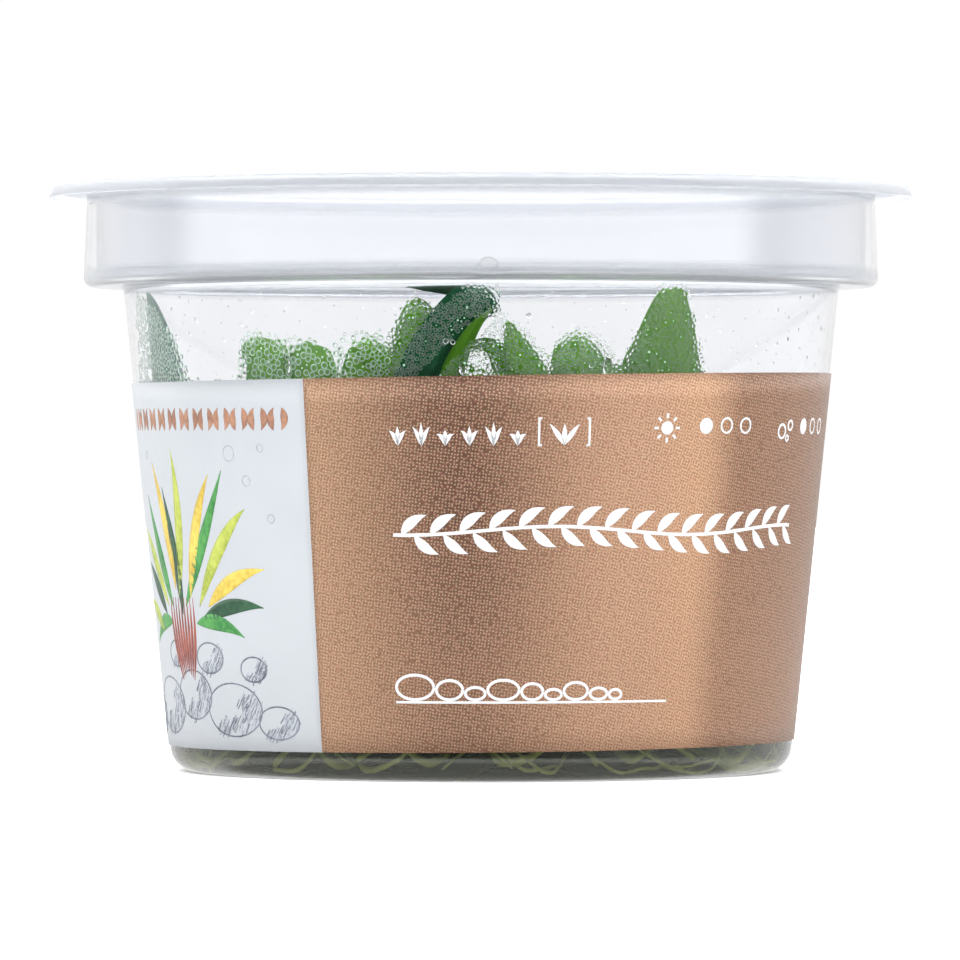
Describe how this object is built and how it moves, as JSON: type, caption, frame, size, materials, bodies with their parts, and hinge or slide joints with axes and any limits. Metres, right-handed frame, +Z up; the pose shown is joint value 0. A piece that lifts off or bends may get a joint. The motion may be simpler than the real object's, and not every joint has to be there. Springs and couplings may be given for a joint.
{
  "type": "tissue culture anubias glabra in a lidded cup",
  "caption": "Clear lidded cup in which small broad-leaved aquarium plants grow on a bed of clear gel, with a printed label round its side.",
  "frame": {"origin": "centre of the cup's base, on the surface that the cup stands on", "axes": "+Z up along the cup's axis, -Y towards the front of the label, +X to the right of someone who looks at the front"},
  "size_m": [0.1036, 0.1036, 0.07],
  "materials": {
    "clear_plastic": "gloss",
    "label": "satin",
    "label_white": "satin",
    "gel": "gloss",
    "leaf": "satin",
    "rhizome": "satin",
    "water": "gloss"
  },
  "bodies": {
    "root": {"cup": "clear_plastic", "lid": "clear_plastic", "label": "label", "culture_gel": "gel", "rhizome_1": "rhizome", "rhizome_2": "rhizome", "rhizome_3": "rhizome", "rhizome_4": "rhizome", "rhizome_5": "rhizome", "rhizome_6": "rhizome", "leaf_01": "leaf", "leaf_02": "leaf", "leaf_03": "leaf", "leaf_04": "leaf", "leaf_05": "leaf", "leaf_06": "leaf", "leaf_07": "leaf", "leaf_08": "leaf", "leaf_09": "leaf", "leaf_10": "leaf", "leaf_11": "leaf", "leaf_12": "leaf", "leaf_13": "leaf", "leaf_14": "leaf", "leaf_15": "leaf", "leaf_16": "leaf", "leaf_17": "leaf", "leaf_18": "leaf", "leaf_19": "leaf", "leaf_20": "leaf", "leaf_21": "leaf", "leaf_22": "leaf"}
  },
  "joints": []
}
